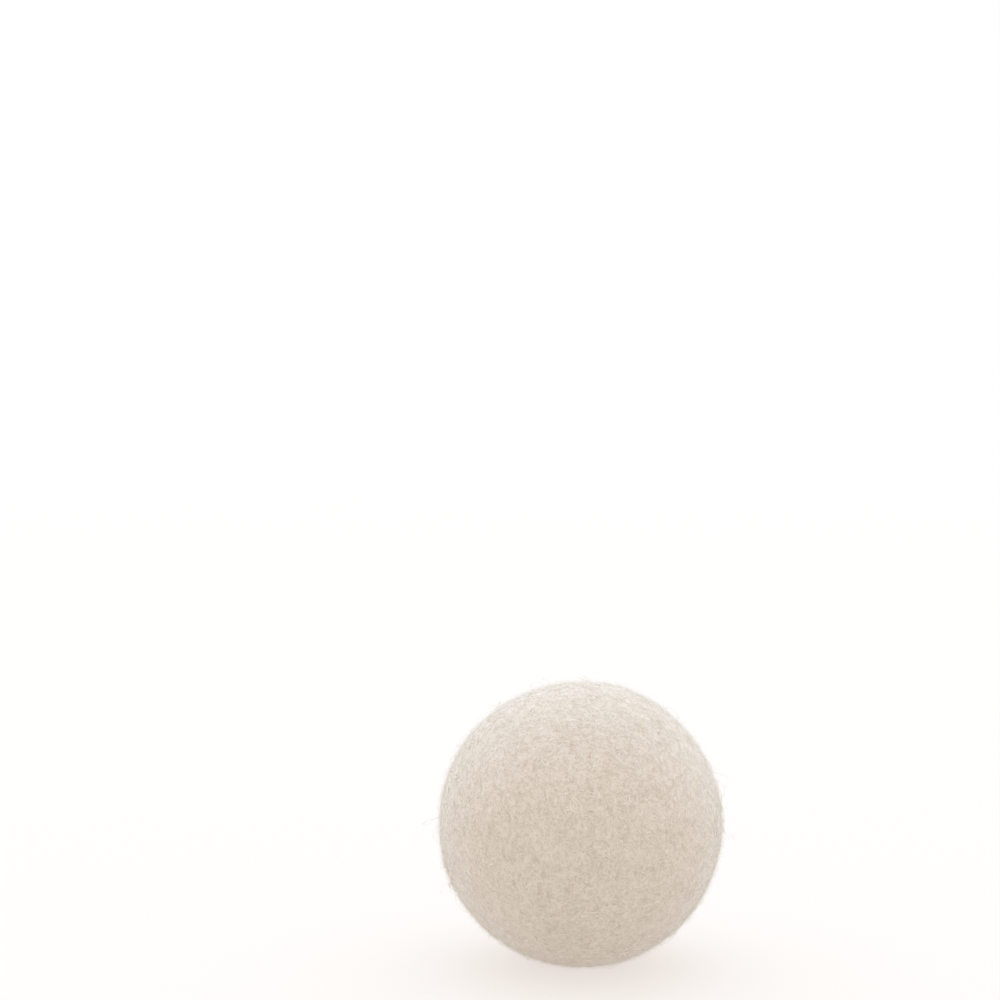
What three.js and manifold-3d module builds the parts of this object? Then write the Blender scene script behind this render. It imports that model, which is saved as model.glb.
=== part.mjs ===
// A wool dryer ball: a rolled core of carded wool under five layers of wool batt, felted together.
// Each layer is two equal strips laid crosswise, which meet along one curved seam, as on a tennis ball.
// Units are millimetres and +Z is up. The origin is the middle of the small flat that the ball rests on.
import * as THREE from 'three';
import { mergeVertices } from 'three/addons/utils/BufferGeometryUtils.js';
import Module from 'manifold-3d';

// The whole ball
const BALL_WIDTH = 75; // across X
const BALL_DEPTH = 74.6; // across Y
const BALL_HEIGHT = 75; // across Z, before the rest flat is pressed into it
const REST_RADIUS = 9; // of the flat that the ball's own weight presses into its underside

// The layers, from the skin inwards, share the depth between the core and the outside equally
const LAYER_NAMES = ['skin', 'outer_wrap', 'middle_wrap', 'inner_wrap', 'core_wrap'];
const GAP = 0.3; // clearance between one strip or layer and the next
const CORE_RADIUS = 12;

// The seam between a layer's two strips is a saddle surface
const SEAM_RISE = 1.6; // rise of the saddle at the layer's radius, as a share of that radius
const SEAM_CELLS = 12; // grid cells along each side of the block that is cut to the saddle
const LAYER_TILT = Math.PI / 2; // each layer's strips cross those of the layer outside it
const LAYER_SWING = Math.PI / 5; // and are swung round a little as well

// The core is one strip of wool, rolled up about X
const ROLL_PITCH = 4; // thickness of the strip and the clearance to the next turn
const ROLL_START = 0.3; // radius at which the roll begins
const ROLL_STEP = Math.PI / 12; // angle between the points of the spiral
const ROLL_END_THICKNESS = 1; // what is left of the strip where it runs out of the core

// Facets along each edge of the icosahedron that a ball is made from
const SURFACE_FACETS = 8;
const LAYER_FACETS = 4;

// A block or strip that a ball is cut from or by reaches past that ball, as a share of its radius
const SIDE_REACH = 1.1;
const TOP_REACH = 4;

// Colours of the wool
const SKIN_COLOR = '#ded3c4';
const WRAP_COLORS = ['#e4dacb', '#ddd0bd', '#e2d6c5', '#dccfbb'];
const CORE_COLOR = '#d8cab4';
const WOOL_ROUGHNESS = 0.95;

const wasm = await Module();
wasm.setup();

// A closed three.js geometry as a manifold solid
function solidFrom(geometry) {
  const bare = geometry.clone();
  bare.deleteAttribute('normal');
  bare.deleteAttribute('uv');
  const merged = mergeVertices(bare);
  return new wasm.Manifold(new wasm.Mesh({
    numProp: 3,
    vertProperties: new Float32Array(merged.attributes.position.array),
    triVerts: new Uint32Array(merged.index.array),
  }));
}

// A manifold solid as a three.js geometry
function geometryFrom(solid) {
  const mesh = solid.getMesh();
  const geometry = new THREE.BufferGeometry();
  geometry.setAttribute('position', new THREE.BufferAttribute(mesh.vertProperties, 3));
  geometry.setIndex(new THREE.BufferAttribute(mesh.triVerts, 1));
  geometry.computeVertexNormals();
  return geometry;
}

// A ball about the origin, slightly flattened as the whole ball is; radius is half its width
function ballSolid(radius, facets) {
  const ball = new THREE.IcosahedronGeometry(radius, facets - 1);
  ball.scale(1, BALL_DEPTH / BALL_WIDTH, BALL_HEIGHT / BALL_WIDTH);
  return solidFrom(ball);
}

// A block over a saddle surface, half a clearance above it, which takes one strip out of a layer.
// The saddle is z = rise (x^2 - y^2) / radius, so turning the block over about the line x = y
// gives the block below the same surface.
function seamBlock(radius) {
  const width = 2 * SIDE_REACH * radius;
  const top = TOP_REACH * radius;
  const block = new THREE.BoxGeometry(width, width, 1, SEAM_CELLS, SEAM_CELLS, 1);
  const points = block.attributes.position;
  for (let i = 0; i < points.count; i += 1) {
    const x = points.getX(i);
    const y = points.getY(i);
    const saddle = (SEAM_RISE * (x * x - y * y)) / radius;
    const slope = (2 * SEAM_RISE * Math.hypot(x, y)) / radius;
    const clearance = (GAP / 2) * Math.hypot(1, slope);
    points.setZ(i, points.getZ(i) < 0 ? saddle + clearance : top);
  }
  return block;
}

// The two strips of one layer: a hollow ball, cut in two along the seam
function layerStrips(innerRadius, outerRadius, facets, turn) {
  const shell = ballSolid(outerRadius, facets).subtract(ballSolid(innerRadius, LAYER_FACETS));
  const turnedOver = new THREE.Quaternion(Math.SQRT1_2, Math.SQRT1_2, 0, 0);
  return [new THREE.Quaternion(), turnedOver].map((side) => {
    const block = seamBlock((innerRadius + outerRadius) / 2);
    block.applyQuaternion(side);
    block.applyQuaternion(turn);
    return shell.intersect(solidFrom(block));
  });
}

// The spiral strip of the core, trimmed to a ball
function coreRoll() {
  const stripThickness = ROLL_PITCH - GAP;
  const lastInnerRadius = CORE_RADIUS - ROLL_END_THICKNESS;
  const turnRadius = (angle) => ROLL_START + (ROLL_PITCH * angle) / (2 * Math.PI);
  const firstInnerAngle = (stripThickness / ROLL_PITCH) * 2 * Math.PI;
  const lastAngle = firstInnerAngle + ((lastInnerRadius - ROLL_START) / ROLL_PITCH) * 2 * Math.PI;
  const spiral = (from, to, inset) => {
    const steps = Math.ceil((to - from) / ROLL_STEP);
    return Array.from({ length: steps + 1 }, (_, i) => {
      const angle = from + ((to - from) * i) / steps;
      const radius = turnRadius(angle) - inset;
      return new THREE.Vector2(radius * Math.cos(angle), radius * Math.sin(angle));
    });
  };
  const outside = spiral(0, lastAngle, 0);
  const inside = spiral(firstInnerAngle, lastAngle, stripThickness).reverse();
  const length = 2 * SIDE_REACH * CORE_RADIUS;
  const strip = new THREE.ExtrudeGeometry(new THREE.Shape([...outside, ...inside]), {
    depth: length,
    bevelEnabled: false,
  });
  strip.translate(0, 0, -length / 2);
  strip.rotateY(Math.PI / 2);
  return solidFrom(strip).intersect(ballSolid(CORE_RADIUS, LAYER_FACETS));
}

function woolMesh(name, solid, color) {
  const material = new THREE.MeshStandardMaterial({ color, roughness: WOOL_ROUGHNESS, metalness: 0 });
  const mesh = new THREE.Mesh(geometryFrom(solid), material);
  mesh.name = name;
  return mesh;
}

// The ball's middle stands so high that the flat at z = 0 has the rest radius
const outerRadius = BALL_WIDTH / 2;
const middleHeight = (BALL_HEIGHT / 2) * Math.sqrt(1 - (REST_RADIUS / outerRadius) ** 2);

// A block of all the space above the surface that the ball rests on, measured from the ball's middle
function aboveRest() {
  const side = 2 * BALL_WIDTH;
  const space = new THREE.BoxGeometry(side, side, side);
  space.translate(0, 0, side / 2 - middleHeight);
  return solidFrom(space);
}

const layers = new THREE.Group();
layers.position.z = middleHeight;

const layerPitch = (outerRadius - CORE_RADIUS) / LAYER_NAMES.length;
LAYER_NAMES.forEach((name, depth) => {
  const outside = outerRadius - depth * layerPitch;
  const inside = outside - layerPitch + GAP;
  const isSkin = depth === 0;
  const turn = new THREE.Quaternion().setFromEuler(
    new THREE.Euler(depth * LAYER_TILT, 0, depth * LAYER_SWING),
  );
  const strips = layerStrips(inside, outside, isSkin ? SURFACE_FACETS : LAYER_FACETS, turn);
  const color = isSkin ? SKIN_COLOR : WRAP_COLORS[depth - 1];
  strips.forEach((strip, i) => {
    const solid = isSkin ? strip.intersect(aboveRest()) : strip;
    layers.add(woolMesh(`${name}_${'ab'[i]}`, solid, color));
  });
});
layers.add(woolMesh('core_roll', coreRoll(), CORE_COLOR));

const dryerBall = new THREE.Group();
dryerBall.add(layers);

export default dryerBall;
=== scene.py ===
"""A felted wool dryer ball on a pale studio floor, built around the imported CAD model.

Lengths are in metres in the model's own frame: +Z up, the origin in the middle of the flat that the ball
rests on. The felt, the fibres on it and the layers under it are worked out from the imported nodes' boxes.
"""

import math

import bpy
import numpy as np
from mathutils import Matrix, Vector


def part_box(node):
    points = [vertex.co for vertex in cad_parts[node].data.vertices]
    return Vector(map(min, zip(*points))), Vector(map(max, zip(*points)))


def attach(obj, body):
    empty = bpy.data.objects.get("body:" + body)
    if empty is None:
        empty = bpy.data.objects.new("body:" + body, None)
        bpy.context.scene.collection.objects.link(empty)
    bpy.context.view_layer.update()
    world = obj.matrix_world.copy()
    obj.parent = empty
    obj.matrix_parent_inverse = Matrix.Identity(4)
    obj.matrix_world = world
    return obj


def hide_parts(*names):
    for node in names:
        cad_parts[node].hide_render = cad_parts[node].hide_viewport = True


MM = 0.001

# The camera, placed so that the ball looks as it does in the photograph
LENS_MM = 90
CAMERA_DISTANCE = 0.667
CAMERA_ELEVATION = math.radians(13)
BALL_RIGHT_OF_MIDDLE = 0.0802  # where the ball's middle is in the picture, as shares of its width
BALL_BELOW_MIDDLE = 0.3235
NEAREST_SEEN = 0.01
FARTHEST_SEEN = 20

# The lights: a white tent that is brightest behind the ball, a soft cool key overhead, a glowing floor
KEY_ANGLE = math.radians(80)  # how wide the key light looks from the ball
KEY_TILT = math.radians(20)  # it leans this far towards the back
KEY_STRENGTH = 0.75
KEY_COLOR = (0.62, 0.86, 1.12)
TENT_FRONT = (0.85, 0.79, 0.725)
TENT_BACK = (1.68, 1.78, 1.92)
BACKDROP_COLOR = (1, 1, 1)
FLOOR_SIZE = 6.0
FLOOR_COLOR = (0.26, 0.245, 0.235)
FLOOR_GLOW = (0.64, 0.61, 0.585)
FLOOR_ROUGHNESS = 0.9
FLOOR_SPECULAR = 0.1
BOUNCES = 24  # light passes between pale fibres many times
DIFFUSE_BOUNCES = 16

# The felt's relief: the length of each set of waves, and how deep it is
RELIEF = (
    (34 * MM, 0.10 * MM),
    (13 * MM, 0.04 * MM),
    (5 * MM, 0.012 * MM),
    (2.2 * MM, 0.012 * MM),
    (1.2 * MM, 0.015 * MM),
)
FELT_INSET = 0.4 * MM  # the fuzz stands over the felt, and hides its surface
WAVES = 40  # plane waves added up for each wavelength
FELT_CELLS = 120  # along each side of the cube that the felt's mesh is made from
LINING_CELLS = 40  # the same for its inner side, which lies on the next layer
REST_ROUNDING = 0.3 * MM  # how softly the felt turns into the flat it rests on

# The finish of all the wool
WOOL_ROUGHNESS = 0.9
WOOL_SPECULAR = 0.15
SHEEN_ROUGHNESS = 0.4

# Wool of matted strands. Shades go from the darkest to the palest, and a cell is about a strand's width.
# The darkest shade goes in the low gaps between the strands: it is painted shade in the hollows.
FELT_WOOL = {
    "shades": ((0.63, 0.54, 0.445), (0.77, 0.69, 0.60)),
    "cell": 1.0 * MM,
    "depth": 0.1 * MM,
    "sheen": 1.0,
}
BATT_WOOL = {
    "shades": ((0.60, 0.52, 0.42), (0.80, 0.72, 0.62)),
    "cell": 1.0 * MM,
    "depth": 0.2 * MM,
    "sheen": 0.6,
}
CORE_WOOL = {
    "shades": ((0.52, 0.43, 0.33), (0.74, 0.65, 0.53)),
    "cell": 0.8 * MM,
    "depth": 0.15 * MM,
    "sheen": 0.5,
}
STRAND_LAYERS = range(1, 5)  # each is the same noise, shifted and turned another way
STRAND_SHIFTS = [(0.3 * layer, 0.7 * layer, 0.1) for layer in STRAND_LAYERS]
STRAND_TURNS = [(1.1 * layer, 2.3 * layer, 0.7 * layer) for layer in STRAND_LAYERS]
STRAND_SCALE = 0.3  # of the noise along a strand, as a share of its scale across it
BEND_SCALE = 0.5  # of the noise that bends the strands, as a share of the same
BEND_REACH = 2.5  # how far that moves them, in cells
STRAND_STEEPNESS = 12  # how narrow the strands are among their gaps
STRAND_ROUGHNESS = (0.98, 0.82)  # in the gaps and on the strands
STRAND_BUMP = 0.5

# The fibres. Curl is how sharply one bends on average, and crimp how far it waves from side to side.
# Rise is how high a fibre stands: its range where fibres lie, and its average where they stand up.
# Glow is the share of the light on a fibre that passes through it.
MATTED = {
    "seed": 11, "count": 14_000, "points": 11,
    "length": (1.5 * MM, 4.0 * MM), "radius": (0.022 * MM, 0.045 * MM), "taper": 0,
    "curl": 0.9 / MM, "crimp": 0.6, "rise": (0.02 * MM, 0.12 * MM),
    "shades": ((0.78, 0.71, 0.62), (0.87, 0.82, 0.75)), "glow": 0,
}
FUZZ = {
    "seed": 12, "count": 130_000, "points": 4,
    "length": (0.7 * MM, 2.4 * MM), "radius": (0.008 * MM, 0.014 * MM), "taper": 0.5,
    "curl": 0.6 / MM, "crimp": 0.5, "rise": 0.7 * MM,
    "shades": ((0.82, 0.80, 0.765), (0.89, 0.88, 0.86)), "glow": 0.25,
}
STRAYS = {
    "seed": 13, "count": 520, "points": 24,
    "length": (4 * MM, 11 * MM), "radius": (0.02 * MM, 0.034 * MM), "taper": 0.5,
    "curl": 0.4 / MM, "crimp": 0.9, "rise": 1.1 * MM,
    "shades": ((0.54, 0.41, 0.24), (0.76, 0.66, 0.50)), "glow": 0.3,
}
NEPS = {
    "seed": 14, "count": 98, "points": 18,
    "length": (3 * MM, 5 * MM), "radius": (0.018 * MM, 0.034 * MM), "taper": 0,
    "curl": 1.6 / MM, "crimp": 0.4, "rise": (0.1 * MM, 0.5 * MM),
    "shades": ((0.68, 0.58, 0.47), (0.80, 0.72, 0.62)), "glow": 0,
}
CURLS = {
    "seed": 15, "count": 3_000, "points": 14,
    "length": (1.8 * MM, 4.5 * MM), "radius": (0.036 * MM, 0.062 * MM), "taper": 0,
    "curl": 1.2 / MM, "crimp": 0.4, "rise": (0.1 * MM, 0.35 * MM),
    "shades": ((0.89, 0.845, 0.785), (0.94, 0.915, 0.875)), "glow": 0,
}
FIBRE_SHEEN = 0.3
FIBRE_PATCHES = 900  # how often a fibre's shade changes, in a metre
NOISE_RANGE = (0.3, 0.7)  # nearly all values of a noise are in it
CRIMP_WAVE = 2.4 * MM  # the usual length of a fibre's waves
CRIMP_WAVE_SPREAD = (0.7, 1.5)  # how single fibres differ from it, and from their kind's crimp
CRIMP_SPREAD = (0.5, 1.5)
LYING_ROOT = 0.06 * MM  # how deep in the felt each kind's ends are
FUZZ_ROOT = 0.1 * MM
STRAY_ROOT = 0.2 * MM
LYING_ARCH = 0.6  # a lower power makes a lying fibre rise sooner from its ends
FUZZ_EVENNESS = 2.5  # the gamma shape of the rises: a higher one makes them more alike
STRAY_EVENNESS = 2.0
FREE_SHARE = 0.6  # of the fuzz has a free end, and the rest is looped back into the felt
FREE_LEAN = 1.2  # a higher power keeps a free fibre lower until near its end
STRAY_ARCH = 0.8  # how much of an arch a stray hair makes before it ends
TUFTS = (1, -0.1, 0.06), (-0.94, -0.1, -0.33)  # the directions of the photograph's two tufts of hairs
HAIRS_IN_A_TUFT = 24
TUFT_SPREAD = 0.09
FRONT_NEP = (-0.25, -0.96, -0.13)  # the direction of the little knot low on the front
FIBRES_IN_A_NEP = 7
NEP_SPREAD = 0.010
TUBE_SIDES = 3
TINY = 1e-9  # added to a length that mustn't be nothing
FLOOR_CLEARANCE = 0.01 * MM  # no fibre comes lower
FACES_IN_A_PIECE = 198_000  # triangles, so that a piece of fibres stays a light mesh

# The wraps under the skin
WRAPS = ("outer_wrap", "middle_wrap", "inner_wrap", "core_wrap")
GAP = 0.3 * MM  # between one layer and the next
SEAM_RISE = 1.6  # of the saddle that parts a layer's two strips, where x is the layer's radius, in radii
LAYER_TILT = math.pi / 2  # each layer's strips cross those of the layer outside it
LAYER_SWING = math.pi / 5  # and are swung round a little as well
STRIP_CELLS = 84
STRIP_INSET = 0.985  # a strip stops short of the seam, this share of the way out to it
EDGE_ROUNDING = 1.8 * MM  # how far in from its edge a strip rounds off
STRIP_HALF_WIDTH = 0.75  # of a strip on average, as a share of its layer's radius
BATT_WAVE = 9 * MM
BATT_RELIEF = 0.25 * MM

# The core, rolled up about X
ROLL_PITCH = 4 * MM
ROLL_START = 0.3 * MM  # the outer radius where the roll begins
ROLL_START_INSIDE = 0.1  # the inner radius there, as a share of the outer one
ROLL_END_THICKNESS = 1 * MM
ROLL_ROWS = 200
ROLL_COLUMNS = 60

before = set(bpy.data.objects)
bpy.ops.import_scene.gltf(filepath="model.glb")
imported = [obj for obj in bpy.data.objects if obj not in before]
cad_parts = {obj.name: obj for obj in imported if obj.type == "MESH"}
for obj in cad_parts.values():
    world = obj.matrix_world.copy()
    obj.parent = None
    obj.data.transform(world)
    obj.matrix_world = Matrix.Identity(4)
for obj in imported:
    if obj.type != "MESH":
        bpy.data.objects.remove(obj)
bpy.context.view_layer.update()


def shared_box(*nodes):
    """The lowest and highest corner of several CAD nodes together."""
    boxes = [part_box(node) for node in nodes]
    low = np.min([np.array(box[0]) for box in boxes], axis=0)
    high = np.max([np.array(box[1]) for box in boxes], axis=0)
    return low, high


def half_box(*nodes):
    """Half the size of several CAD nodes together."""
    low, high = shared_box(*nodes)
    return (high - low) / 2


def strips(layer):
    """The two CAD nodes of a layer."""
    return [f"{layer}_a", f"{layer}_b"]


_, skin_high = shared_box(*strips("skin"))
wrap_low, wrap_high = shared_box(*strips("outer_wrap"))
middle = (wrap_low + wrap_high) / 2
skin_half = np.array([skin_high[0], skin_high[1], skin_high[2] - middle[2]])
wrap_half = half_box(*strips("outer_wrap"))


# --- Noise and the felt's shape ---------------------------------------------------------------------

def wave_noise(points, wavelength, seed):
    """Smooth noise of about -2 to 2 at each point: plane waves of one length, in all directions."""
    rng = np.random.default_rng(seed)
    directions = rng.normal(size=(WAVES, 3))
    directions /= np.linalg.norm(directions, axis=1, keepdims=True)
    phases = rng.uniform(0, 2 * math.pi, WAVES)
    total = np.zeros(len(points))
    for direction, phase in zip(directions, phases):
        total += np.sin(points @ (direction * (2 * math.pi / wavelength)) + phase)
    return total * math.sqrt(2 / WAVES)


def unit(vectors):
    return vectors / np.linalg.norm(vectors, axis=-1, keepdims=True)


def felt_points(directions, height):
    """Points at a height over the felt, in each direction from the ball's middle.

    Those that would be under the flat that the ball rests on are pressed up to it, with a soft turn.
    """
    shape = directions.shape
    ways = directions.reshape(-1, 3)
    smooth = ways * skin_half
    relief = np.zeros(len(ways))
    for seed, (wavelength, depth) in enumerate(RELIEF):
        relief += depth * wave_noise(smooth, wavelength, seed)
    lifted = smooth + unit(ways) * (relief + np.ravel(height) - FELT_INSET)[:, None]
    points = middle + lifted
    above = points[:, 2]
    points[:, 2] = (above + np.sqrt(above**2 + REST_ROUNDING**2)) / 2
    return points.reshape(shape)


# --- Meshes ----------------------------------------------------------------------------------------

def mesh_piece(name, points, faces, material, smooth=True):
    """An object from arrays of points and of faces with the same number of corners."""
    mesh = bpy.data.meshes.new(name)
    corners = faces.shape[1]
    mesh.vertices.add(len(points))
    mesh.vertices.foreach_set("co", np.ascontiguousarray(points, dtype=np.float32).ravel())
    mesh.loops.add(faces.size)
    mesh.loops.foreach_set("vertex_index", np.ascontiguousarray(faces, dtype=np.int32).ravel())
    mesh.polygons.add(len(faces))
    mesh.polygons.foreach_set("loop_start", np.arange(0, faces.size, corners, dtype=np.int32))
    mesh.materials.append(material)
    mesh.update(calc_edges=True)
    mesh.validate()
    if smooth:
        mesh.shade_smooth()
    else:
        mesh.shade_flat()
    piece = bpy.data.objects.new(name, mesh)
    bpy.context.scene.collection.objects.link(piece)
    return piece


def cube_ball(cells):
    """Directions and square faces of a ball made from a cube, with nearly even cells."""
    steps = np.tan(np.linspace(-math.pi / 4, math.pi / 4, cells + 1))
    across, along = np.meshgrid(steps, steps, indexing="ij")
    ones = np.ones_like(across)
    sides = []
    for axis in range(3):
        for sign in (1, -1):
            side = np.stack([ones * sign, across, along * sign], axis=-1)
            sides.append(np.roll(side, axis, axis=-1).reshape(-1, 3))
    points = unit(np.concatenate(sides))
    row = np.arange(cells)
    corner = (row[:, None] * (cells + 1) + row).ravel()
    quad = np.stack([corner, corner + cells + 1, corner + cells + 2, corner + 1], axis=1)
    faces = np.concatenate([quad + side * (cells + 1) ** 2 for side in range(6)])
    _, first, same = np.unique(np.round(points, 6), axis=0, return_index=True, return_inverse=True)
    return points[first], same.ravel()[faces]


# --- Materials -------------------------------------------------------------------------------------

def new_material(name):
    material = bpy.data.materials.new(name)
    material.use_nodes = True
    return material, material.node_tree.nodes, material.node_tree.links


def add_math(nodes, links, operation, first, second):
    """A math node on two values, each a socket or a number, and its result."""
    node = nodes.new("ShaderNodeMath")
    node.operation = operation
    for socket, value in zip(node.inputs, (first, second)):
        if isinstance(value, (int, float)):
            socket.default_value = value
        else:
            links.new(value, socket)
    return node.outputs[0]


def add_noise(nodes, links, place, scale, detail):
    noise = nodes.new("ShaderNodeTexNoise")
    noise.inputs["Scale"].default_value = scale
    noise.inputs["Detail"].default_value = detail
    links.new(place, noise.inputs["Vector"])
    return noise


def add_ramp(nodes, links, value, shades):
    """The colour between two shades at a value from 0 to 1."""
    ramp = nodes.new("ShaderNodeValToRGB")
    for element, shade in zip(ramp.color_ramp.elements, shades):
        element.color = (*shade, 1)
    links.new(value, ramp.inputs["Fac"])
    return ramp.outputs["Color"]


def object_place(nodes):
    """The place on the piece, in metres in the model's frame."""
    return nodes.new("ShaderNodeTexCoord").outputs["Object"]


def set_wool(shader, sheen):
    shader.inputs["Roughness"].default_value = WOOL_ROUGHNESS
    shader.inputs["Specular IOR Level"].default_value = WOOL_SPECULAR
    shader.inputs["Sheen Weight"].default_value = sheen
    shader.inputs["Sheen Roughness"].default_value = SHEEN_ROUGHNESS


def fibre_wool(name, kind):
    """Wool of single fibres, whose shade changes a little along them, and which let some light through."""
    material, nodes, links = new_material(name)
    shader = nodes["Principled BSDF"]
    set_wool(shader, FIBRE_SHEEN)
    noise = add_noise(nodes, links, object_place(nodes), FIBRE_PATCHES, detail=2)
    spread = nodes.new("ShaderNodeMapRange")
    spread.inputs["From Min"].default_value = NOISE_RANGE[0]
    spread.inputs["From Max"].default_value = NOISE_RANGE[1]
    links.new(noise.outputs["Fac"], spread.inputs["Value"])
    color = add_ramp(nodes, links, spread.outputs["Result"], kind["shades"])
    links.new(color, shader.inputs["Base Color"])
    through = nodes.new("ShaderNodeBsdfTranslucent")
    links.new(color, through.inputs["Color"])
    mix = nodes.new("ShaderNodeMixShader")
    mix.inputs["Fac"].default_value = kind["glow"]
    links.new(shader.outputs["BSDF"], mix.inputs[1])
    links.new(through.outputs["BSDF"], mix.inputs[2])
    links.new(mix.outputs["Shader"], nodes["Material Output"].inputs["Surface"])
    return material


def strand_layer(nodes, links, place, cell, shift, turn):
    """One layer of matted strands: noise stretched along one way, bent, and folded into ridges.

    It is 1 along the middle of each strand, and drops below 0 between them.
    """
    shifted = nodes.new("ShaderNodeMapping")
    shifted.inputs["Location"].default_value = shift
    links.new(place, shifted.inputs["Vector"])
    bend = add_noise(nodes, links, shifted.outputs["Vector"], BEND_SCALE / cell, detail=1)
    bent = nodes.new("ShaderNodeVectorMath")
    bent.operation = "MULTIPLY_ADD"
    bent.inputs[1].default_value = (BEND_REACH * cell,) * 3
    links.new(bend.outputs["Color"], bent.inputs[0])
    links.new(place, bent.inputs[2])
    turned = nodes.new("ShaderNodeMapping")
    turned.inputs["Rotation"].default_value = turn
    links.new(bent.outputs["Vector"], turned.inputs["Vector"])
    stretched = nodes.new("ShaderNodeMapping")
    stretched.inputs["Scale"].default_value = (STRAND_SCALE / cell, 1 / cell, 1 / cell)
    links.new(turned.outputs["Vector"], stretched.inputs["Vector"])
    noise = add_noise(nodes, links, stretched.outputs["Vector"], scale=1, detail=0)
    centred = add_math(nodes, links, "SUBTRACT", noise.outputs["Fac"], 0.5)
    folded = add_math(nodes, links, "ABSOLUTE", centred, 0)
    steep = add_math(nodes, links, "MULTIPLY", folded, STRAND_STEEPNESS)
    return add_math(nodes, links, "SUBTRACT", 1, steep)


def strand_wool(name, wool):
    """Wool of layers of matted strands, with colour, roughness and bump from them, and painted shade in the
    gaps.
    """
    material, nodes, links = new_material(name)
    shader = nodes["Principled BSDF"]
    set_wool(shader, wool["sheen"])
    place = object_place(nodes)
    strands = 0
    for shift, turn in zip(STRAND_SHIFTS, STRAND_TURNS):
        layer = strand_layer(nodes, links, place, wool["cell"], shift, turn)
        strands = add_math(nodes, links, "MAXIMUM", strands, layer)
    # the gaps between strands, where the bump is low, take the darker shade as painted shade; the strands
    # take the paler one
    links.new(add_ramp(nodes, links, strands, wool["shades"]), shader.inputs["Base Color"])
    bump = nodes.new("ShaderNodeBump")
    bump.inputs["Strength"].default_value = STRAND_BUMP
    bump.inputs["Distance"].default_value = wool["depth"]
    links.new(strands, bump.inputs["Height"])
    links.new(bump.outputs["Normal"], shader.inputs["Normal"])
    roughness = nodes.new("ShaderNodeMapRange")
    roughness.inputs["To Min"].default_value = STRAND_ROUGHNESS[0]
    roughness.inputs["To Max"].default_value = STRAND_ROUGHNESS[1]
    links.new(strands, roughness.inputs["Value"])
    links.new(roughness.outputs["Result"], shader.inputs["Roughness"])
    return material


# --- The felt --------------------------------------------------------------------------------------

def make_felt():
    """The felted skin: one closed shell, matted outside and smooth where it lies on the next layer."""
    outer, outer_faces = cube_ball(FELT_CELLS)
    inner, inner_faces = cube_ball(LINING_CELLS)
    outside = felt_points(outer, np.zeros(len(outer)))
    inside = middle + inner * (wrap_half + GAP)
    points = np.concatenate([outside, inside])
    faces = np.concatenate([outer_faces, inner_faces[:, ::-1] + len(outside)])
    felt = mesh_piece("felted_skin", points, faces, strand_wool("matted_felt", FELT_WOOL))
    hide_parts("skin_a", "skin_b")
    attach(felt, "root")


# --- Fibres ----------------------------------------------------------------------------------------

def all_round(rng, count):
    return unit(rng.normal(size=(count, 3)))


def wander(rng, kind, here):
    """Directions of points along fibres that lie on the ball from the given directions, each a wavy curl."""
    count, steps = len(here), kind["points"]
    length = rng.uniform(*kind["length"], size=count)
    heading = rng.uniform(0, 2 * math.pi, size=count)
    side = unit(np.cross(here, all_round(rng, count)))
    ahead = np.cos(heading)[:, None] * side + np.sin(heading)[:, None] * np.cross(here, side)
    step = length / (steps - 1)
    bend = rng.normal(scale=kind["curl"], size=count)
    wave = CRIMP_WAVE * rng.uniform(*CRIMP_WAVE_SPREAD, size=count)
    sway = kind["crimp"] * rng.uniform(*CRIMP_SPREAD, size=count) * 2 * math.pi / wave
    phase = rng.uniform(0, 2 * math.pi, size=count)
    path = [here]
    for i in range(1, steps):
        turn = step * (bend + sway * np.cos(2 * math.pi * i * step / wave + phase))
        ahead = np.cos(turn)[:, None] * ahead + np.sin(turn)[:, None] * np.cross(here, ahead)
        here = unit(here + ahead * (step / skin_half.mean())[:, None])
        ahead = unit(ahead - here * np.sum(ahead * here, axis=1, keepdims=True))
        path.append(here)
    return np.stack(path, axis=1)


def tube_faces(rings):
    """Triangles of one closed tube: its first point, then the rings, then its last point."""
    corner = np.arange(TUBE_SIDES)
    after = (corner + 1) % TUBE_SIDES
    ring = 1 + TUBE_SIDES * np.arange(rings - 1)[:, None]
    here = ring + corner
    there = ring + after
    lower = np.stack([here, here + TUBE_SIDES, there], axis=-1)
    upper = np.stack([there, here + TUBE_SIDES, there + TUBE_SIDES], axis=-1)
    last_ring = 1 + TUBE_SIDES * (rings - 1)
    last_point = last_ring + TUBE_SIDES
    start = np.stack([np.zeros_like(corner), 1 + corner, 1 + after], axis=-1)
    end = np.stack([np.full_like(corner, last_point), last_ring + after, last_ring + corner], axis=-1)
    return np.concatenate([start, lower.reshape(-1, 3), upper.reshape(-1, 3), end])


def tubes(paths, radii):
    """Points and triangles of closed tubes along the paths, pointed at both ends."""
    count, steps, _ = paths.shape
    rings = steps - 2
    tangent = unit(np.gradient(paths, axis=1))
    side = unit(np.cross(tangent, unit(paths - middle)) + TINY)
    over = np.cross(side, tangent)
    angles = 2 * math.pi * np.arange(TUBE_SIDES) / TUBE_SIDES
    inner = slice(1, -1)
    around = np.cos(angles)[:, None] * side[:, inner, None] + np.sin(angles)[:, None] * over[:, inner, None]
    corners = paths[:, inner, None] + radii[:, inner, None, None] * around
    points = np.concatenate([paths[:, :1], corners.reshape(count, -1, 3), paths[:, -1:]], axis=1)
    points[..., 2] = np.maximum(points[..., 2], FLOOR_CLEARANCE)
    points_in_a_tube = TUBE_SIDES * rings + 2
    faces = tube_faces(rings) + (points_in_a_tube * np.arange(count))[:, None, None]
    return points.reshape(-1, 3), faces.reshape(-1, 3)


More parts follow.
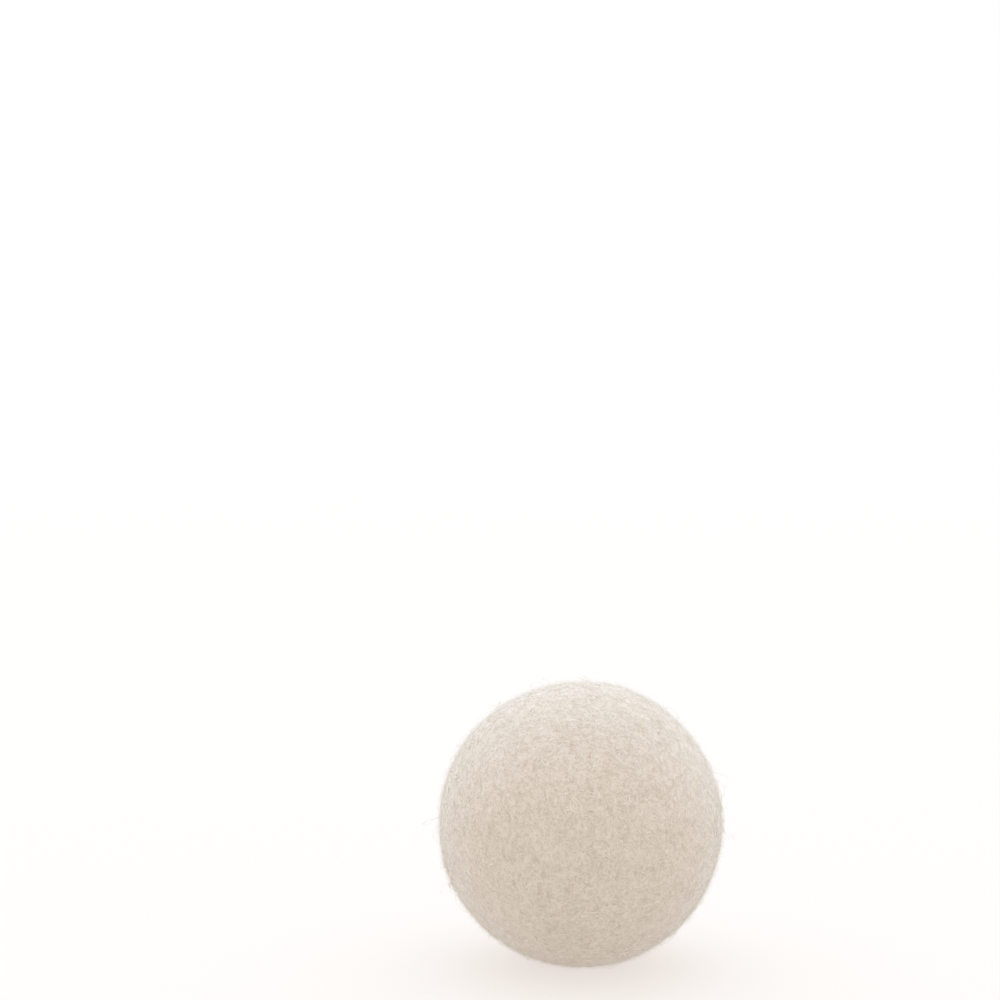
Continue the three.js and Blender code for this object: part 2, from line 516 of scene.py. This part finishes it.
def fibre_pieces(name, paths, radii, material):
    """Fibres as meshes of a light size each."""
    count, steps, _ = paths.shape
    faces_in_a_tube = 2 * TUBE_SIDES * (steps - 2)
    tubes_in_a_piece = FACES_IN_A_PIECE // faces_in_a_tube
    for number, start in enumerate(range(0, count, tubes_in_a_piece)):
        some = slice(start, start + tubes_in_a_piece)
        points, faces = tubes(paths[some], radii[some])
        piece = mesh_piece(f"{name}_{number + 1}", points, faces, material, smooth=False)
        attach(piece, "root")


def shares_along(kind):
    """How far along a fibre each of its points is, from 0 to 1."""
    return np.linspace(0, 1, kind["points"])[None, :]


def fibre_radii(rng, kind):
    thickest = rng.uniform(*kind["radius"], size=(kind["count"], 1))
    return thickest * (1 - kind["taper"] * shares_along(kind))


def lying_fibres(name, rng, kind, starts):
    """Fibres that lie on the felt, with both ends sunk in it."""
    directions = wander(rng, kind, starts)
    rise = rng.uniform(*kind["rise"], size=(kind["count"], 1))
    arch = np.sin(math.pi * shares_along(kind)) ** LYING_ARCH
    height = (rise + LYING_ROOT) * arch - LYING_ROOT
    radii = fibre_radii(rng, kind)
    fibre_pieces(name, felt_points(directions, height), radii, fibre_wool(name, kind))


def make_matted_fibres():
    rng = np.random.default_rng(MATTED["seed"])
    lying_fibres("matted_fibres", rng, MATTED, all_round(rng, MATTED["count"]))


def make_curls():
    """The pale curled fibres that catch the eye on the felt."""
    rng = np.random.default_rng(CURLS["seed"])
    lying_fibres("curls", rng, CURLS, all_round(rng, CURLS["count"]))


def make_fuzz():
    """Short fine fibres that stand up from the felt, some looped back into it and some with a free end."""
    rng = np.random.default_rng(FUZZ["seed"])
    directions = wander(rng, FUZZ, all_round(rng, FUZZ["count"]))
    along = shares_along(FUZZ)
    rise = rng.gamma(FUZZ_EVENNESS, FUZZ["rise"] / FUZZ_EVENNESS, size=(FUZZ["count"], 1))
    free = rng.random(size=(FUZZ["count"], 1)) < FREE_SHARE
    height = rise * np.where(free, along**FREE_LEAN, np.sin(math.pi * along)) - FUZZ_ROOT
    radii = fibre_radii(rng, FUZZ)
    fibre_pieces("fuzz", felt_points(directions, height), radii, fibre_wool("fuzz_wool", FUZZ))


def make_stray_hairs():
    """A few long curly hairs that stand clear of the fuzz, all round and in two tufts."""
    rng = np.random.default_rng(STRAYS["seed"])
    starts = all_round(rng, STRAYS["count"])
    tufts = np.repeat(TUFTS, HAIRS_IN_A_TUFT, axis=0)
    starts[:len(tufts)] = unit(tufts + rng.normal(scale=TUFT_SPREAD, size=tufts.shape))
    directions = wander(rng, STRAYS, starts)
    rise = rng.gamma(STRAY_EVENNESS, STRAYS["rise"] / STRAY_EVENNESS, size=(STRAYS["count"], 1))
    height = rise * np.sin(STRAY_ARCH * math.pi * shares_along(STRAYS)) - STRAY_ROOT
    radii = fibre_radii(rng, STRAYS)
    fibre_pieces("stray_hairs", felt_points(directions, height), radii, fibre_wool("stray_wool", STRAYS))


def make_neps():
    """Little knots of tightly curled fibre, caught in the felt."""
    rng = np.random.default_rng(NEPS["seed"])
    knots = all_round(rng, NEPS["count"] // FIBRES_IN_A_NEP)
    knots[0] = FRONT_NEP
    starts = np.repeat(knots, FIBRES_IN_A_NEP, axis=0)
    starts = unit(starts + rng.normal(scale=NEP_SPREAD, size=starts.shape))
    lying_fibres("neps", rng, NEPS, starts)


# --- The layers under the skin ---------------------------------------------------------------------

def pillow(name, sheet, normals, thickness, material, node):
    """A closed soft sheet from a square grid of its middle points, their normals and its thickness there.

    Its two faces share the points along the grid's border, where its thickness is nothing.
    """
    rows, columns = thickness.shape
    half = (thickness / 2)[..., None] * normals
    top = np.arange(rows * columns).reshape(rows, columns)
    bottom = top.copy()
    within = np.arange((rows - 2) * (columns - 2)).reshape(rows - 2, columns - 2)
    bottom[1:-1, 1:-1] = rows * columns + within
    over = (sheet + half).reshape(-1, 3)
    under = (sheet - half)[1:-1, 1:-1].reshape(-1, 3)
    upper = np.stack([top[:-1, :-1], top[:-1, 1:], top[1:, 1:], top[1:, :-1]], axis=-1)
    lower = np.stack([bottom[1:, :-1], bottom[1:, 1:], bottom[:-1, 1:], bottom[:-1, :-1]], axis=-1)
    faces = np.concatenate([upper.reshape(-1, 4), lower.reshape(-1, 4)])
    piece = mesh_piece(name, np.concatenate([over, under]), faces, material)
    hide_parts(node)
    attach(piece, "root")


def rounded_edge(inwards):
    """How full a sheet is at a distance in from its edge: nothing at the edge, then soon full."""
    near = np.clip(1 - inwards / EDGE_ROUNDING, 0, 1)
    return np.sqrt(1 - near**2)


def strip_directions():
    """A disc of directions that fills one strip of a layer, and how far in from its edge each is.

    The strip runs from side to side over the top, along Y. Its edge is where the saddle
    z = SEAM_RISE (x^2 - y^2) cuts a ball of radius 1. The way in is 0 at the edge and 1 in the middle.
    """
    steps = np.linspace(-1, 1, STRIP_CELLS + 1)
    row, column = np.meshgrid(steps, steps, indexing="ij")
    along = STRIP_INSET * row * np.sqrt(1 - column**2 / 2)
    across = STRIP_INSET * column * np.sqrt(1 - row**2 / 2)
    # At its ends, where x is 0, the saddle makes cos(end) = -SEAM_RISE sin(end)^2
    end = math.acos((1 - math.sqrt(1 + 4 * SEAM_RISE**2)) / (2 * SEAM_RISE))
    angle = end * np.sin(math.pi / 2 * along)
    # Between them it makes cos(half_width) cos(angle) = SEAM_RISE (1 - broad cos(half_width)^2)
    broad = 1 + np.sin(angle) ** 2
    root = np.sqrt(np.cos(angle) ** 2 + 4 * SEAM_RISE**2 * broad)
    half_width = np.arccos(np.clip((root - np.cos(angle)) / (2 * SEAM_RISE * broad), -1, 1))
    aside = half_width * across / np.sqrt(1 - along**2)
    x = np.sin(aside)
    y = np.cos(aside) * np.sin(angle)
    z = np.cos(aside) * np.cos(angle)
    return np.stack([x, y, z], axis=-1), 1 - np.hypot(along, across) / STRIP_INSET


def make_wraps():
    """Each hidden layer's two crosswise strips of wool batt, with soft rounded edges."""
    batt = strand_wool("wool_batt", BATT_WOOL)
    directions, inwards = strip_directions()
    turned_over = directions[..., [1, 0, 2]] * (1, 1, -1)  # about the line x = y, for the strip below
    halves = [half_box(*strips(layer)) for layer in WRAPS]
    inner_halves = [*halves[1:], half_box("core_roll")]
    for depth, (layer, outer_half, inner_half) in enumerate(zip(WRAPS, halves, inner_halves), start=1):
        turn = Matrix.Rotation(depth * LAYER_TILT, 3, "X") @ Matrix.Rotation(depth * LAYER_SWING, 3, "Z")
        edge = rounded_edge(inwards * STRIP_HALF_WIDTH * outer_half.mean())
        for node, strip in zip(strips(layer), (directions, turned_over)):
            turned = strip @ np.array(turn).T
            outside = turned * outer_half
            inside = turned * (inner_half + GAP)
            relief = wave_noise(outside.reshape(-1, 3), BATT_WAVE, depth).reshape(inwards.shape)
            full = np.linalg.norm(outside - inside, axis=-1) - BATT_RELIEF * (1 + np.tanh(relief))
            sheet = middle + (outside + inside) / 2
            pillow(f"{node}_batt", sheet, turned, full * edge, batt, node)


def make_core():
    """The core's one strip of wool, rolled up about X and rounded off to a ball."""
    radius = half_box("core_roll").min()
    strip = ROLL_PITCH - GAP
    last_inside = radius - ROLL_END_THICKNESS
    last_angle = 2 * math.pi * (last_inside + strip - ROLL_START) / ROLL_PITCH
    angle = last_angle * np.linspace(0, 1, ROLL_ROWS)[:, None]
    outside = ROLL_START + ROLL_PITCH * angle / (2 * math.pi)
    inside = np.maximum(outside - strip, ROLL_START_INSIDE * outside)
    half_length = np.sqrt(radius**2 - (inside + GAP) ** 2)
    across = half_length * np.linspace(1, -1, ROLL_COLUMNS)[None, :]
    outside = np.minimum(outside, np.sqrt(radius**2 - across**2))
    out = np.zeros((*across.shape, 3))
    out[..., 1] = np.sin(angle)
    out[..., 2] = -np.cos(angle)
    sheet = middle + out * ((outside + inside) / 2)[..., None]
    sheet[..., 0] += across
    from_ends = last_inside * np.minimum(angle, last_angle - angle)
    inwards = np.minimum(half_length - np.abs(across), from_ends)
    thickness = (outside - inside) * rounded_edge(inwards)
    material = strand_wool("rolled_wool", CORE_WOOL)
    pillow("rolled_core", sheet, out, thickness, material, "core_roll")


# --- Studio ----------------------------------------------------------------------------------------

def make_floor():
    bpy.ops.mesh.primitive_plane_add(size=FLOOR_SIZE)
    floor = bpy.context.object
    floor.name = "floor"
    material, nodes, _ = new_material("studio_floor")
    shader = nodes["Principled BSDF"]
    shader.inputs["Base Color"].default_value = (*FLOOR_COLOR, 1)
    shader.inputs["Roughness"].default_value = FLOOR_ROUGHNESS
    shader.inputs["Specular IOR Level"].default_value = FLOOR_SPECULAR
    shader.inputs["Emission Color"].default_value = (*FLOOR_GLOW, 1)
    shader.inputs["Emission Strength"].default_value = 1
    floor.data.materials.append(material)


def make_key():
    key = bpy.data.lights.new("soft_key", "SUN")
    key.angle = KEY_ANGLE
    key.energy = KEY_STRENGTH
    key.color = KEY_COLOR
    lamp = bpy.data.objects.new("soft_key", key)
    lamp.rotation_euler = (-KEY_TILT, 0, 0)
    bpy.context.scene.collection.objects.link(lamp)


def make_tent():
    """Light from all round, brighter from behind, while the camera sees a plain backdrop."""
    world = bpy.data.worlds.new("studio")
    bpy.context.scene.world = world
    world.use_nodes = True
    nodes, links = world.node_tree.nodes, world.node_tree.links
    tent = nodes["Background"]
    directions = nodes.new("ShaderNodeSeparateXYZ")
    links.new(nodes.new("ShaderNodeTexCoord").outputs["Generated"], directions.inputs["Vector"])
    backwards = nodes.new("ShaderNodeMapRange")
    backwards.inputs["From Min"].default_value = -1
    links.new(directions.outputs["Y"], backwards.inputs["Value"])
    light = add_ramp(nodes, links, backwards.outputs["Result"], (TENT_FRONT, TENT_BACK))
    links.new(light, tent.inputs["Color"])
    backdrop = nodes.new("ShaderNodeBackground")
    backdrop.inputs["Color"].default_value = (*BACKDROP_COLOR, 1)
    seen = nodes.new("ShaderNodeLightPath").outputs["Is Camera Ray"]
    mix = nodes.new("ShaderNodeMixShader")
    links.new(seen, mix.inputs["Fac"])
    links.new(tent.outputs["Background"], mix.inputs[1])
    links.new(backdrop.outputs["Background"], mix.inputs[2])
    links.new(mix.outputs["Shader"], nodes["World Output"].inputs["Surface"])


def make_camera():
    """A camera with no roll or shift that sees the ball from its elevation, off the picture's middle.

    It stands straight in front of the ball. Its heading and its dip put the ball right of the picture's
    middle and below it.
    """
    data = bpy.data.cameras.new("camera")
    data.lens = LENS_MM
    camera = bpy.data.objects.new("camera", data)
    bpy.context.scene.collection.objects.link(camera)
    right = BALL_RIGHT_OF_MIDDLE * data.sensor_width / LENS_MM
    down = BALL_BELOW_MIDDLE * data.sensor_width / LENS_MM
    stretch = math.sqrt((1 + right**2 + down**2) / (1 + down**2))
    dip = math.asin(math.sin(CAMERA_ELEVATION) * stretch) - math.atan(down)
    heading = math.atan2(right, math.cos(dip) - down * math.sin(dip))
    back = Vector((0, -math.cos(CAMERA_ELEVATION), math.sin(CAMERA_ELEVATION)))
    camera.location = Vector(middle) + back * CAMERA_DISTANCE
    camera.rotation_euler = (math.pi / 2 - dip, 0, heading)
    data.clip_start = NEAREST_SEEN
    data.clip_end = FARTHEST_SEEN
    bpy.context.scene.camera = camera


make_camera()
make_key()
make_tent()
make_floor()
make_felt()
make_matted_fibres()
make_curls()
make_fuzz()
make_stray_hairs()
make_neps()
make_wraps()
make_core()

bpy.context.scene.view_settings.view_transform = "Standard"
bpy.context.scene.cycles.max_bounces = BOUNCES
bpy.context.scene.cycles.diffuse_bounces = DIFFUSE_BOUNCES
